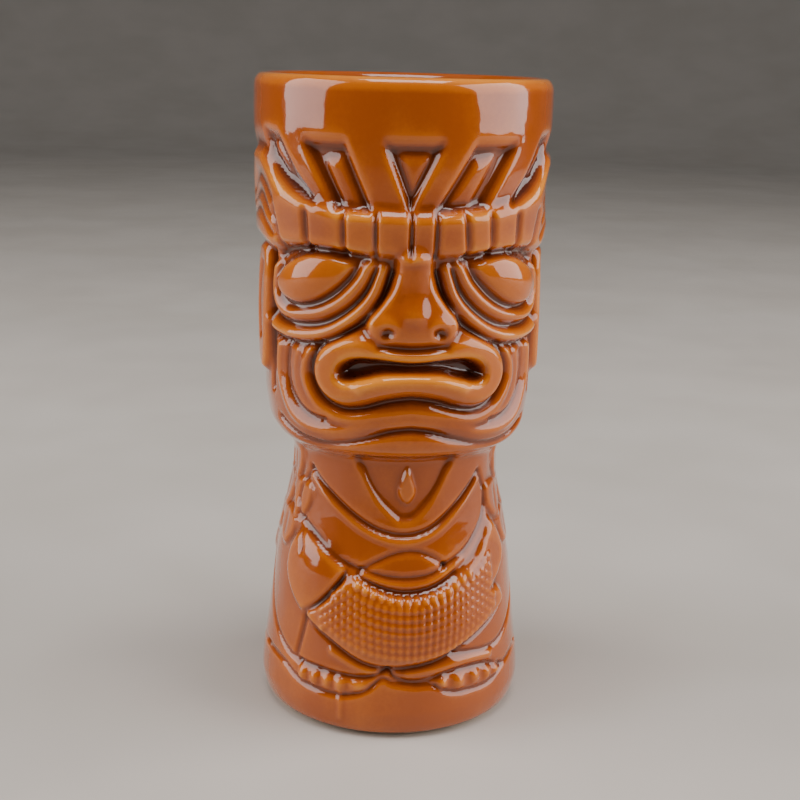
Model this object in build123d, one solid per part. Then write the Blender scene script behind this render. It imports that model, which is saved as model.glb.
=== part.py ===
from build123d import *
import math
import os

import numpy as np

# A tiki mug, slip cast in one piece and glazed. Sizes are in mm. The origin is the centre
# of the foot on the table, +Z is up and the carved face looks along -Y.
#
# Four pieces: the clay body, the amber glaze on its outside, the liner glaze inside, and
# the patch of glaze in the hollow under the foot. The foot ring itself is bare clay.

HEIGHT = 165.0
GLAZE = 0.4

# The carving is drawn flat, on the wall unrolled from a cylinder of this radius. The middle
# of the face sits a little to one side of the front.
SKIN_RADIUS = 37.5
GIRTH = 2 * math.pi * SKIN_RADIUS
BACK = GIRTH / 2
FACE_CENTRE = 0.6
SCALE_PITCH = 3.0

# The foot: a flat ring round a shallow recess, bare up to the line where the glaze starts.
GLAZE_LINE = 1.2
FOOT_RADIUS = 31.6
FOOT_FLARE_RADIUS = 33.0
FOOT_RING = 4.6
FOOT_RECESS = 2.0
FOOT_GLAZE = 0.3

# The lip turns over from the outer wall at its bottom to a crest, and down to the hollow.
LIP_BOTTOM = 161.5
LIP_CREST_RADIUS = 35.2
LIP_SHOULDER_RADIUS = 33.8
CLAY_TOP = HEIGHT - GLAZE

# The wall is shaped by rings of stations, closer together in front, where the face is.
STATIONS_AROUND = 200
STATIONS_UP = 128
FRONT_CROWDING = 0.25

# The plain wall under the carving: radius at each height, at the sides and back, and in front.
SIDE_WALL = [
    (0, 32.0), (1.2, 33.3), (3, 34.2), (7, 34.9), (11, 34.6), (20, 33.4), (30, 32.2),
    (40, 31.1), (50, 28.9), (57, 27.3), (63, 25.9), (70, 25.6), (73, 27.0), (76, 30.8),
    (79, 33.0), (86, 34.0), (96, 34.3), (106, 34.4), (116, 34.2), (122, 33.8), (128, 33.9),
    (134, 34.5), (140, 35.3), (147, 36.4), (152, 37.0), (158, 37.1), (165, 37.0),
]
FRONT_WALL = [
    (0, 32.0), (1.2, 33.3), (3, 34.2), (7, 34.9), (11, 34.6), (20, 33.8), (30, 32.8),
    (40, 31.3), (50, 29.4), (57, 28.0), (63, 27.3), (72.2, 27.4), (74, 29.8), (76, 34.0),
    (79, 35.3), (84, 35.8), (90, 35.9), (100, 35.8), (110, 35.6), (118, 35.3), (124, 35.3),
    (130, 35.9), (136, 36.6), (144, 37.0), (152, 37.1), (158, 37.1), (165, 37.0),
]
FRONT_REACH = math.radians(86)
FRONT_FULL = math.radians(42)

# The inside: radius of the hollow at each height, from its floor to the lip.
HOLLOW = [
    (6.5, 25.8), (9, 29.2), (14, 30.5), (22, 30.2), (32, 29.0), (42, 27.4), (52, 25.2),
    (62, 22.9), (70, 22.3), (76, 24.7), (83, 28.8), (92, 30.8), (106, 31.1), (122, 31.2),
    (136, 31.8), (150, 32.8), (161, 33.4),
]


def smooth_step(x):
    """Rise from 0 to 1 with a level start and end."""
    x = np.clip(x, 0.0, 1.0)
    return x * x * (3 - 2 * x)


def rounded(points, closed=False, steps=5):
    """Points on a rounded line that passes through the given ones."""
    knots = np.array(points, float)
    if closed:
        knots = np.vstack([knots[-1:], knots, knots[:2]])
    else:
        knots = np.vstack([2 * knots[:1] - knots[1:2], knots, 2 * knots[-1:] - knots[-2:-1]])
    before, start, end, after = knots[:-3], knots[1:-2], knots[2:-1], knots[3:]
    line = []
    for i in range(steps):
        t = i / steps
        line.append(
            start
            + 0.5 * t * (end - before)
            + 0.5 * t**2 * (2 * before - 5 * start + 4 * end - after)
            + 0.5 * t**3 * (3 * start - before - 3 * end + after)
        )
    line = np.stack(line, axis=1).reshape(-1, 2)
    return line if closed else np.vstack([line, end[-1:]])


def mirrored(points):
    """The same line on the other side of the face's centre."""
    return [(2 * FACE_CENTRE - u, z) for u, z in points]


def across(points):
    """A line drawn from the right edge of the face to its centre, carried on to the left edge."""
    half = list(points)
    return half + mirrored(half)[::-1]


class Skin:
    """Heights carved on the unrolled wall: u runs round the girth, z runs up."""

    def __init__(self, u, z):
        self.u, self.z = np.meshgrid(u, z)
        self.height = np.zeros_like(self.u)

    def _window(self, line, reach):
        """The stations near a line: their indices, and their places beside it."""
        middle = (line[:, 0].min() + line[:, 0].max()) / 2
        u = middle + (self.u - middle + GIRTH / 2) % GIRTH - GIRTH / 2
        low, high = line.min(axis=0) - reach, line.max(axis=0) + reach
        near = (u > low[0]) & (u < high[0]) & (self.z > low[1]) & (self.z < high[1])
        return near, np.stack([u[near], self.z[near]], axis=1)

    @staticmethod
    def _distance(places, line):
        """Distance from each place to the nearest point of a line."""
        start, along = line[:-1], np.diff(line, axis=0)
        length = np.maximum((along**2).sum(axis=1), 1e-9)
        offset = places[:, None, :] - start
        t = np.clip((offset * along).sum(axis=2) / length, 0.0, 1.0)
        return np.sqrt(((offset - t[:, :, None] * along) ** 2).sum(axis=2)).min(axis=1)

    @staticmethod
    def _inside(places, outline):
        """Whether each place lies inside a closed outline."""
        x, y = places[:, 0, None], places[:, 1, None]
        x0, y0 = outline[:-1, 0], outline[:-1, 1]
        x1, y1 = outline[1:, 0], outline[1:, 1]
        rise = np.where(y1 == y0, 1e-9, y1 - y0)
        crosses = ((y0 > y) != (y1 > y)) & (x < x0 + (y - y0) * (x1 - x0) / rise)
        return crosses.sum(axis=1) % 2 == 1

    def ridge(self, points, width, height, both=False):
        """Raise a rounded bead along a line, or cut a groove when the height is negative."""
        for path in [points, mirrored(points)] if both else [points]:
            line = rounded(path)
            near, places = self._window(line, width / 2)
            share = np.clip(self._distance(places, line) / (width / 2), 0.0, 1.0)
            self.height[near] += height * (1 - share**2) ** 2

    def groove(self, points, width, depth, both=False):
        """Cut a rounded groove along a line."""
        self.ridge(points, width, -depth, both)

    def pad(self, outline, height, edge, both=False, sharp=False):
        """Raise the area inside an outline, with a shoulder as wide as its edge."""
        for path in [outline, mirrored(outline)] if both else [outline]:
            corners = np.array(path, float) if sharp else rounded(path, closed=True)
            loop = np.vstack([corners, corners[:1]])
            near, places = self._window(loop, edge)
            depth = self._distance(places, loop) * np.where(self._inside(places, loop), 1, -1)
            self.height[near] += height * smooth_step(depth / edge + 0.5)

    def belt(self, lower, upper, height, edge):
        """Raise a band all the way round between two lines drawn from the front to the back."""
        away = np.abs(self.u)
        below = self.z - np.interp(away, *zip(*lower))
        above = np.interp(away, *zip(*upper)) - self.z
        self.height += height * smooth_step(np.minimum(below, above) / edge + 0.5)

    def dome(self, centre, half_width, half_height, height, tilt=0.0, both=False):
        """Raise a rounded oval bump; the tilt in degrees lifts its far end."""
        for place in [centre, mirrored([centre])[0]] if both else [centre]:
            side = -1 if both and place != centre else 1
            turn = math.radians(tilt) * side
            middle = np.array(place, float)
            du = (self.u - middle[0] + GIRTH / 2) % GIRTH - GIRTH / 2
            dz = self.z - middle[1]
            along = (du * math.cos(turn) + dz * math.sin(turn)) / half_width
            upright = (dz * math.cos(turn) - du * math.sin(turn)) / half_height
            self.height += height * np.clip(1 - along**2 - upright**2, 0.0, 1.0) ** 1.5


def carve_crown(skin):
    """Sunk panels fanned round the crown, each with a lower island left standing in it."""
    centre = [(-7, 150), (6.5, 150), (-1, 135.5)]
    centre_island = [(-3.8, 148), (3.8, 148), (-0.5, 139.5)]
    left = [(-28, 150), (-17, 150), (-10, 135), (-18.5, 135)]
    left_island = [(-22, 146), (-17.6, 147), (-11.8, 135.5), (-16.6, 135.5)]
    right = [(15, 150), (27, 150), (17.5, 136), (5.5, 135.3)]
    right_island = [(14.8, 146.5), (21, 148), (13.8, 136.5), (7.6, 136.3)]
    outer = [(25, 136), (32, 142.6), (39, 151), (45, 151.5), (43, 146.5), (38, 142), (32, 138.6)]
    outer_island = [(34, 142), (40.5, 149.5), (43, 150), (41.5, 146.5)]
    panels = [(centre, centre_island), (left, left_island), (right, right_island)]
    panels += [(outer, outer_island), (mirrored(outer), mirrored(outer_island))]
    for outline, island in panels:
        skin.pad(outline, -2.0, 1.9, sharp=True)
        skin.pad(island, 1.1, 2.0, sharp=True)
    back_panel = [(-6.8, 150), (6.8, 150), (0, 135.5)]
    back_island = [(-3.5, 148), (3.5, 148), (0, 140)]
    back_panels = [(back_panel, back_island)]
    slope = [(7, 136), (15, 136), (27, 150), (16.5, 150)]
    rib = [(10.5, 137.5), (14.5, 137.5), (22, 147.5), (17, 147.5)]
    for side in (-1, 1):
        for shift in (0, 20):
            pair = [[(side * (u + shift), z) for u, z in shape] for shape in (slope, rib)]
            back_panels.append(pair)
    for outline, island in back_panels:
        skin.pad([(BACK + u, z) for u, z in outline], -1.5, 1.9, sharp=True)
        skin.pad([(BACK + u, z) for u, z in island], 0.9, 2.0, sharp=True)


def carve_headband(skin):
    """A bound headband that rises into a wing at each temple and runs on round the back."""
    top = [
        (0, 134.4), (15, 134.9), (21, 135.6), (27, 136.8), (33, 139.2), (39, 142.5), (46, 146.5),
        (53, 147), (62, 142), (70, 137.5), (80, 135), (BACK, 134.5),
    ]
    bottom = [
        (0, 124.4), (12, 124.9), (25, 125.8), (35, 125.6), (41, 124), (50, 125.5), (62, 125),
        (BACK, 125),
    ]
    skin.belt(bottom, top, 2.5, 3.6)
    ties = {-37: 2.5, -26.2: 0, -16.3: 0, -8.7: 0, -0.5: 0, 5.3: 0, 12.8: 1.2, 19.4: 1.2,
            27.5: 1, 35.5: -1.5}
    for u, lean in ties.items():
        skin.groove([(u - lean / 2, 134.2), (u + lean / 2, 124.8)], 2.0, 1.3)
    for i in range(-4, 5):
        skin.groove([(BACK + 8 * i, 133.5), (BACK + 8 * i, 126)], 2.2, 1.0)
    for lift in (0, 4.2, 8.4):
        fold = [(40, 127.5 + lift), (46, 131 + lift), (53, 132.5 + lift), (61, 130 + 0.7 * lift)]
        skin.groove(fold, 2.8, 0.7, both=True)
    skin.dome((51, 141), 17, 12, -1.7, both=True)


def carve_eyes(skin):
    """Bulging almond eyes set under a heavy brow."""
    almond = [
        (14.7, 122.5), (19, 124), (23.5, 124.6), (29, 123.8), (34.5, 121.5), (38.6, 118),
        (39.6, 115.5), (36.5, 112.6), (31, 111.6), (26, 112.6), (21.5, 115), (17, 119),
    ]
    skin.pad(almond, 1.5, 2.0, both=True)
    skin.dome((28.0, 118), 13.5, 7.2, 2.3, tilt=-14, both=True)
    skin.groove(almond + almond[:1], 2.0, 1.0, both=True)
    skin.groove([(12, 123.9), (20, 125.2), (28, 125.2), (36, 123.7), (41, 120.8)], 2.8, 1.3, both=True)


def carve_folds(skin):
    """Two thick folds of skin sweep from beside the nose out under each eye."""
    upper = [(11.4, 122.4), (13.9, 118), (18.2, 113.6), (23.7, 110.5), (29.7, 109.2),
             (35.5, 109), (39.6, 110.9), (41, 115), (40.2, 121)]
    lower = [(8.2, 121.6), (10.5, 115.4), (14.3, 110.8), (19.7, 107), (25.7, 104.8),
             (32, 104.1), (38, 104.3), (43.6, 105.2)]
    between = [(9.8, 121.6), (12.5, 115.7), (16.8, 111.3), (22.5, 107.9), (28.5, 106.7),
               (35, 106.6), (39.6, 107.2), (43.6, 108.8)]
    under = [(6.2, 121), (8.4, 114.5), (12, 109.7), (17, 105.9), (23, 103.1), (29, 102.1),
             (36.5, 101.9), (41.6, 102.3)]
    skin.ridge(upper, 4.8, 1.7, both=True)
    skin.ridge(lower, 4.8, 1.6, both=True)
    skin.groove(between, 1.6, 1.0, both=True)
    skin.groove(under, 2.2, 1.4, both=True)


def carve_nose(skin):
    """A narrow bridge widening to two round wings with a nostril dent in each."""
    half = [(3.4, 124.6), (4.3, 120.5), (5.4, 116.6), (7.8, 113.6), (10.6, 110.9), (10.9, 107.4),
            (8.4, 105.2), (3.6, 104.3)]
    outline = [(FACE_CENTRE + u, z) for u, z in half]
    outline += mirrored(outline)[::-1]
    skin.pad(outline, 2.6, 1.9)
    skin.dome((FACE_CENTRE, 108.6), 8.5, 7.5, 1.5)
    skin.dome((7.4, 108.4), 4.4, 4.0, 0.8, both=True)
    skin.ridge([(FACE_CENTRE, 124), (FACE_CENTRE, 112)], 6, 0.6)
    skin.dome((6.6, 107.0), 2.4, 1.9, -2.0, tilt=-20, both=True)


def carve_mouth(skin):
    """A wide sullen mouth: a fat ring of lip round a dark downturned slot."""
    half = [(4, 103.4), (11, 105.6), (16.5, 105.1), (20.9, 103.1), (23.9, 99.6), (24.4, 95.2),
            (22, 91.2), (17.7, 89.1), (13, 89.4), (7, 91), (2, 91.8)]
    ring = [(FACE_CENTRE + u, z) for u, z in half]
    skin.pad(ring + mirrored(ring)[::-1], 2.8, 3.8)
    slot = [(2, 99.4), (9.4, 100.1), (14.4, 99.8), (17.4, 98), (17.7, 95.7), (15.6, 94.8),
            (12, 95.6), (7, 97.1), (2, 97.6)]
    slot = [(FACE_CENTRE + u, z) for u, z in slot]
    skin.pad(slot + mirrored(slot)[::-1], -5.2, 2.4)
    skin.ridge([(-11.4, 93.6), (-6, 94.8), (FACE_CENTRE, 95.2), (7.2, 94.8), (12.6, 93.6)], 5.5, 0.8)
    skin.groove([(-7.4, 103.3), (FACE_CENTRE, 102.8), (8.6, 103.3)], 2.4, 1.1)


def carve_jowls(skin):
    """Nested folds round the mouth, the cheek line, and the chin pad below."""
    around = [(23.6, 102.6), (25.6, 100), (26.4, 96), (25, 91.8), (21.6, 88.7), (17.2, 87.4),
              (12, 88), (6.6, 89.8), (1.6, 90.6)]
    roll = [(27, 100.6), (28.6, 97.6), (28.6, 93.4), (25.6, 88.6), (21, 85.8), (16, 84.9),
            (9, 86.2), (2, 87.2)]
    inner_roll = [(31.3, 100), (32, 96), (31, 91), (28, 87.2), (24, 84.8)]
    cheek = [(35, 101.6), (35.9, 96), (34.8, 90.6), (31.8, 86.9), (27.8, 84.8), (22.9, 84.1)]
    outer_roll = [(39.4, 100.2), (39.6, 94), (37, 88), (33, 83.5), (27, 81.4), (19, 81.6),
                  (10, 83.8), (2, 84.9)]
    chin = [(40.5, 81.5), (36.5, 79.9), (30.5, 78.2), (25, 77.7), (18.5, 78.5), (11.5, 80.3),
            (6, 82), (2, 82.7)]
    skin.groove(across(around), 1.9, 1.3)
    skin.ridge(across(roll), 4.4, 1.2)
    skin.ridge(inner_roll, 4.0, 0.6, both=True)
    skin.groove(cheek, 1.9, 1.2, both=True)
    skin.ridge(across(outer_roll), 3.6, 0.9)
    skin.groove(across(chin), 2.2, 1.3)
    skin.dome((FACE_CENTRE, 77.8), 24, 5.0, 0.9)


def carve_ears(skin):
    """Long flat ears hanging at the sides of the head."""
    ear = [(45.6, 122.6), (54.4, 122.6), (55.4, 111), (54, 97), (50, 92), (46.2, 95.5), (45, 110)]
    skin.pad(ear, 1.9, 1.8, both=True)
    skin.groove([(50, 119), (51.4, 111), (50.2, 101)], 3.4, 1.0, both=True)
    skin.groove([(43.6, 123), (43.4, 110), (43.7, 98), (44.2, 88)], 2.4, 1.7, both=True)


def carve_hair(skin):
    """Long waved locks down the back of the head, cut off level above the neck."""
    sway = [(0, 124), (1.3, 115), (-1.3, 105), (1.3, 95), (-1.0, 86), (0, 78.5)]
    for side in (-1, 1):
        for lock in range(5):
            middle = 6.1 + 12.2 * lock
            parting = [(BACK + side * (middle + du), z) for du, z in sway]
            strand = [(u - side * 6.1, z - 2) for u, z in parting[:-1]]
            skin.groove(parting, 3.0, 1.3)
            if lock > 0:
                skin.groove(strand, 1.8, 0.6)
    skin.groove([(BACK, 122), (BACK, 84)], 1.8, 0.6)
    hem = [(BACK - 55, 80), (BACK - 30, 77.5), (BACK, 77), (BACK + 30, 77.5), (BACK + 55, 80)]
    skin.groove(hem, 2.2, 0.8)


def carve_collar(skin):
    """Two crossed layers of collar with a V at the throat and a small drop pendant."""
    throat = [(-14.6, 74.5), (-13.2, 68.5), (-8.5, 62.5), (-2, 57.8), (1, 57.1), (4.5, 58),
              (10, 62.5), (14.6, 68.5), (16.1, 74.5)]
    skin.pad(throat, -1.3, 1.4)
    pendant = [(1.5, 70.2), (3.6, 66.5), (4.2, 63.8), (1.5, 61.4), (-1.2, 63.8), (-0.6, 66.5)]
    skin.pad(pendant, 1.2, 1.5)
    upper = [(-36, 67.5), (-28, 63.2), (-16, 57.5), (-8, 54.6), (0, 53.4), (8, 54.4), (15, 57.5),
             (25, 63.5), (30, 67.5)]
    skin.groove(upper, 2.2, 1.2)
    skin.ridge([(u, z - 1.7) for u, z in upper], 2.4, 0.5)
    skin.groove([(-35.5, 67), (-40, 62.5), (-41.5, 58.5), (-39.5, 54.6)], 1.7, 1.0)
    right_arm = [(30.5, 67), (33.2, 63), (33.4, 58), (31, 54.5), (24, 49.5), (19, 47), (13, 45.1)]
    left_arm = [(-41, 54.5), (-36, 53), (-30, 50.8), (-24, 48), (-19, 45.8), (-13, 44.4)]
    skin.groove(right_arm, 1.9, 1.1)
    skin.groove(left_arm, 1.9, 1.1)
    navel_top = [(-12, 44.8), (-5, 47.9), (0, 49.2), (5, 49.2), (10, 47.6), (14, 45.2)]
    skin.groove(navel_top, 1.7, 0.9)
    skin.groove([(-13, 44.5), (-5, 43.1), (2, 42.7), (9, 43.4), (14, 45.2)], 1.5, 0.9)
    skin.ridge([(-12, 43.4), (-5, 41.6), (2, 41), (8, 41.6), (14, 43.6), (20, 46.6)], 1.8, 0.6)
    skin.groove([(-14, 43.4), (-10, 41.5), (-4, 39.7), (2, 39.2), (10, 40.3), (17, 43.3)], 1.5, 0.9)


def carve_fish(skin):
    """A fish held across the belly: smooth head, scaled body and a forked tail."""
    head = [(-17, 44), (-22, 47.5), (-26, 49), (-31, 50.3), (-36, 50.5), (-39.5, 48),
            (-41, 44), (-40, 39.5), (-37, 35.5), (-33, 32.3), (-29.8, 31), (-26, 33.6),
            (-22.4, 37), (-19, 41)]
    skin.pad(head, 1.5, 2.4)
    skin.dome((-30, 41.5), 11, 10, 0.8)
    skin.groove([(-35.6, 50.4), (-34, 48), (-33.3, 46.4)], 1.4, 1.0)
    gill = [(-17.2, 43.8), (-19, 40.5), (-22.5, 36.5), (-26, 33.5), (-30, 31.1)]
    skin.groove(gill, 1.7, 1.3)
    body = [(-14.5, 42.4), (-8, 40), (-3, 38.5), (3, 37.9), (9, 38.8), (14, 40.6), (19, 43),
            (25, 46), (30, 50), (34, 53.6), (38, 51), (40, 44.5), (34, 39), (29.5, 37.2),
            (34, 36.2), (36.5, 33.6), (35, 31.4), (27, 28.3), (18, 25), (10, 22), (0, 20.7),
            (-10, 21.5), (-20, 26), (-29, 30.4), (-24, 34.4), (-20, 38.5)]
    skin.pad(body, 1.5, 2.2)
    skin.dome((2, 30.5), 27, 11, 0.8, tilt=6)
    carve_scales(skin)
    for i in range(5):
        skin.groove([(29 + 1.6 * i, 43.5 - 0.5 * i), (31.5 + 1.3 * i, 49.5 - 0.8 * i)], 1.1, 0.4)
    skin.groove([(-29.5, 29.8), (-20, 25), (-10, 20.5), (0, 19.6), (10, 21), (18, 24), (27, 27.3),
                 (36, 31)], 1.6, 0.9)


def carve_scales(skin):
    """Rows of small scales that follow the belly of the fish, and a beaded back."""
    for row in range(round(16.4 / SCALE_PITCH)):
        drop = SCALE_PITCH * row
        for i in range(-round(27 / SCALE_PITCH), round(32 / SCALE_PITCH)):
            u = 1.5 + SCALE_PITCH * i * (1 - 0.006 * drop)
            z = 35.4 - drop + 0.0125 * (u - 2) ** 2
            behind_gill = u > -26 + 0.8 * abs(z - 31)
            above_belly = z > 22.2 + 0.0115 * (u - 1) ** 2
            if behind_gill and above_belly and u < 31:
                skin.dome((u, z), 0.61 * SCALE_PITCH, 0.59 * SCALE_PITCH, 0.9)
    for i in range(15):
        u = -13 + 2.45 * i
        skin.dome((u, 37.6 + 0.0135 * (u - 2.5) ** 2), 1.2, 1.6, 0.8)


def carve_feet(skin):
    """Bent legs below the fish, and two broad feet with round toes on the base ring."""
    skin.groove([(-29.8, 29.5), (-30.8, 25), (-32.5, 18.5)], 1.8, 1.1)
    skin.groove([(15, 22.6), (20, 21.9), (26, 21.2), (31, 21), (36, 22), (42, 24.8),
                 (51, 31), (57, 41)], 1.8, 1.0)
    shin_left = [(-31, 17.3), (-25, 17), (-17, 16.6), (-10, 16.8), (-5.6, 18.2)]
    skin.groove([(-59, 41), (-54, 31), (-47, 24), (-40, 19.9), (-35, 17.9), (-31, 17.3)], 1.7, 1.0)
    skin.groove(shin_left, 1.9, 1.3)
    shin_right = [(-3.6, 19.6), (-1.5, 17.2), (3.5, 15.9), (9, 16.3), (14, 17.4), (20, 17.6),
                  (26, 17.1), (31, 15.8), (36, 14.2)]
    skin.groove(shin_right, 1.8, 1.2)
    skin.ridge([(-20, 22.5), (-12, 19.6), (-7, 18.6)], 3.4, 0.7)
    skin.ridge([(2, 18.4), (10, 19), (20, 20), (29, 19.2)], 3.2, 0.7)
    ledge = [(-52, 15.6), (-45, 15.5), (-38, 14.8), (-32, 12.6), (-26, 11.5), (-17, 11.3), (-12, 12.4),
             (-8.6, 14), (-5, 16.9), (-2, 15.8), (4, 14.9), (9.4, 14.6), (13.5, 12.5),
             (19, 11.6), (29, 11.5), (36, 13.8), (45, 15.4), (52, 15.6)]
    skin.groove(ledge, 1.5, 1.1)
    for u in (-29.4, -25.2, -21.0, -17.0):
        skin.dome((u, 14.2), 2.1, 2.5, 1.0)
    for u, z, half in ((12.0, 14.9, 1.9), (17.3, 14.5, 2.5), (22.8, 14.7, 2.3), (27.6, 14.4, 1.9),
                       (31.8, 14.3, 1.6)):
        skin.dome((u, z), half, 2.4, 1.0)
    skin.dome((-11.4, 14.3), 3.2, 2.0, 0.7)
    skin.ridge([(-16.9, 12.6), (-16.6, 8.5), (-16.7, 5.2)], 2.2, 0.35)


def carve_cloak(skin):
    """A cape of overlapping feathers from the shoulders down the back of the body."""
    pitch = 14.0
    for row, feathers in enumerate((11, 12, 11, 8, 7, 4)):
        z = 71.5 - 8.8 * row
        for i in range(feathers):
            u = BACK + pitch * (i - (feathers - 1) / 2)
            lobe = [(u - 6.8, z), (u - 6.2, z - 5), (u - 3, z - 8.6), (u, z - 9.6),
                    (u + 3, z - 8.6), (u + 6.2, z - 5), (u + 6.8, z)]
            skin.pad(lobe, 0.8, 1.6)
            skin.groove(lobe, 1.7, 0.6)
            skin.groove([(u, z - 1.5), (u, z - 6.5)], 1.5, 0.4)
    skin.groove([(BACK + u, 15.6) for u in (-68, -34, 0, 34, 68)], 1.5, 1.1)


def carving(u, z):
    """The height of the carving at every station of the wall."""
    skin = Skin(u, z)
    parts = (carve_crown, carve_headband, carve_eyes, carve_folds, carve_nose, carve_mouth,
             carve_jowls, carve_ears, carve_hair, carve_collar, carve_fish, carve_feet, carve_cloak)
    for carve in parts:
        carve(skin)
    return skin.height


def wall_radius(theta, z):
    """Radius of the carved clay wall at each height, all the way round."""
    side = np.interp(z, *zip(*SIDE_WALL))
    front = np.interp(z, *zip(*FRONT_WALL))
    ahead = smooth_step((FRONT_REACH - np.abs(theta)) / (FRONT_REACH - FRONT_FULL))
    plain = side[:, None] + (front - side)[:, None] * ahead
    return plain + carving(SKIN_RADIUS * theta, z)


def ring(theta, radius, z):
    """A closed curve round the axis through one row of wall stations."""
    points = [Vector(r * math.sin(t), -r * math.cos(t), z) for t, r in zip(theta, radius)]
    steps = [i / len(points) for i in range(len(points) + 1)]
    return Wire([Edge.make_spline(points, periodic=True, parameters=steps)])


def wall_rings(thickness):
    """Rings up the outside of the wall and over the lip, a given thickness outside the clay."""
    even = np.linspace(-math.pi, math.pi, STATIONS_AROUND, endpoint=False)
    theta = even - FRONT_CROWDING * np.sin(even)
    heights = np.linspace(GLAZE_LINE, LIP_BOTTOM, STATIONS_UP)
    rings = [ring(theta, r + thickness, z) for r, z in zip(wall_radius(theta, heights), heights)]
    edge = wall_radius(theta, heights[-1:])[0]
    for turn in (22.5, 45, 67.5, 90):
        out = math.cos(math.radians(turn))
        up = math.sin(math.radians(turn))
        radius = LIP_CREST_RADIUS + (edge - LIP_CREST_RADIUS) * out + thickness * out
        rings.append(ring(theta, radius, LIP_BOTTOM + (CLAY_TOP - LIP_BOTTOM + thickness) * up))
    return rings


def hollow_space(inset):
    """The solid space inside the mug, up to the crest of the lip, moved inwards by the inset."""
    floor = (HOLLOW[0][1] - inset, HOLLOW[0][0] + inset)
    wall = [(radius - inset, z) for z, radius in HOLLOW[1:]]
    wall[0] = (wall[0][0], wall[0][1] + 0.3 * inset)
    shoulder = (LIP_SHOULDER_RADIUS - 0.8 * inset, CLAY_TOP - 0.75 + 0.7 * inset)
    crest = (LIP_CREST_RADIUS - 0.15, CLAY_TOP + inset)
    outline = [
        Spline(floor, *wall),
        ThreePointArc(wall[-1], shoulder, crest),
        Line(crest, (0, crest[1])),
        Line((0, crest[1]), (0, floor[1])),
        Line((0, floor[1]), floor),
    ]
    return revolve(make_face(Plane.XZ * Curve(outline)), Axis.Z)


def build_clay_body():
    """The cast wall: carved outside, smooth hollow inside, bare ring and recess below."""
    wall = Solid.make_loft(wall_rings(0.0), ruled=True)
    foot = Pos(0, 0, GLAZE_LINE / 2) * Cone(FOOT_RADIUS, FOOT_FLARE_RADIUS, GLAZE_LINE)
    recess = Pos(0, 0, FOOT_RECESS / 2) * Cylinder(FOOT_RADIUS - FOOT_RING, FOOT_RECESS)
    return wall + foot - recess - hollow_space(0.0)


def build_outer_glaze():
    """The amber glaze over the carving, from just above the foot to the crest of the lip."""
    inner = wall_rings(0.0)
    outer = wall_rings(GLAZE)
    section = outer + inner[::-1] + outer[:1]
    return Solid(Shell.make_loft(section, ruled=True))


def build_liner_glaze():
    """The liner glaze over the inside, meeting the outer glaze at the crest of the lip."""
    return hollow_space(0.0) - hollow_space(GLAZE)


def build_foot_recess_glaze():
    """The thin patch of glaze in the recess under the foot."""
    level = FOOT_RECESS - FOOT_GLAZE / 2
    return Pos(0, 0, level) * Cylinder(FOOT_RADIUS - FOOT_RING, FOOT_GLAZE)


PIECES = {
    "clay_body": build_clay_body,
    "outer_glaze": build_outer_glaze,
    "liner_glaze": build_liner_glaze,
    "foot_recess_glaze": build_foot_recess_glaze,
}

os.makedirs("parts", exist_ok=True)
for name, build in PIECES.items():
    piece = build()
    export_step(piece, f"parts/{name}.step")
    print(name, piece.bounding_box())
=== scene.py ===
import math

import bpy
import numpy as np
from mathutils import Matrix, Vector


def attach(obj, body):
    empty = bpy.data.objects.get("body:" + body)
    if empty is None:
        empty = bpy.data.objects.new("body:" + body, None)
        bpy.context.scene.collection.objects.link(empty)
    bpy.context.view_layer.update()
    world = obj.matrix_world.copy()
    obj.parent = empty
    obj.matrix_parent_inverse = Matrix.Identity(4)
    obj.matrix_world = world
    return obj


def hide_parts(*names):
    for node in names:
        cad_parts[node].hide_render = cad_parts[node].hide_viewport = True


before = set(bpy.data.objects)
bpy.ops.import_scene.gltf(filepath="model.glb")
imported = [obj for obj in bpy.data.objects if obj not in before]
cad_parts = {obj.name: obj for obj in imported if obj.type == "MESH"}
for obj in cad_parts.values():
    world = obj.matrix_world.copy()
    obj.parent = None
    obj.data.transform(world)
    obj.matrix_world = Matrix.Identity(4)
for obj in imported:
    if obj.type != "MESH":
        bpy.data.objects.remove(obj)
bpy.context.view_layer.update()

# The looks of the tiki mug: dense carved skins in the place of the four CAD pieces, their
# glaze and clay materials, and the studio. The carving is drawn in mm on the unrolled wall
# and scaled to metres when the meshes are made. The face looks along -Y.

MM = 0.001
HEIGHT = 165.0
GLAZE = 0.4

# The unrolled wall: the radius that it is unrolled at, its length, and where the back is.
SKIN_RADIUS = 37.5
GIRTH = 2 * math.pi * SKIN_RADIUS
BACK = GIRTH / 2

# The foot: the lower edge of the outer glaze, the bare ring, and the glazed recess inside it.
GLAZE_LINE = 1.2
FOOT_RADIUS = 31.6
FOOT_RING = 4.6
FOOT_INNER = FOOT_RADIUS - FOOT_RING
FOOT_RECESS = 2.0
FOOT_GLAZE = 0.3

# The rounded lip, from the top of the wall to its crest.
LIP_BOTTOM = 161.5
LIP_ROUND = HEIGHT - LIP_BOTTOM
LIP_CREST_RADIUS = 35.2

# The carving: the middle of the face, the spacing of the fish's scales, and how many straight
# pieces a rounded line has between two of its points.
FACE_CENTRE = 0.6
SCALE_PITCH = 2.05
LINE_STEPS = 5

# The stations of the outer skin, which crowd towards the face and thin out near the rim.
COLUMNS = 344
ROWS = 270
FRONT_CROWDING = 0.44
ROW_CROWDING = 0.45
CARVED_SHARE = 0.86

# How thick the glaze lies on a level surface, as a share of its depth in the deepest grooves.
LEVEL_GLAZE = 0.5

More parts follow.
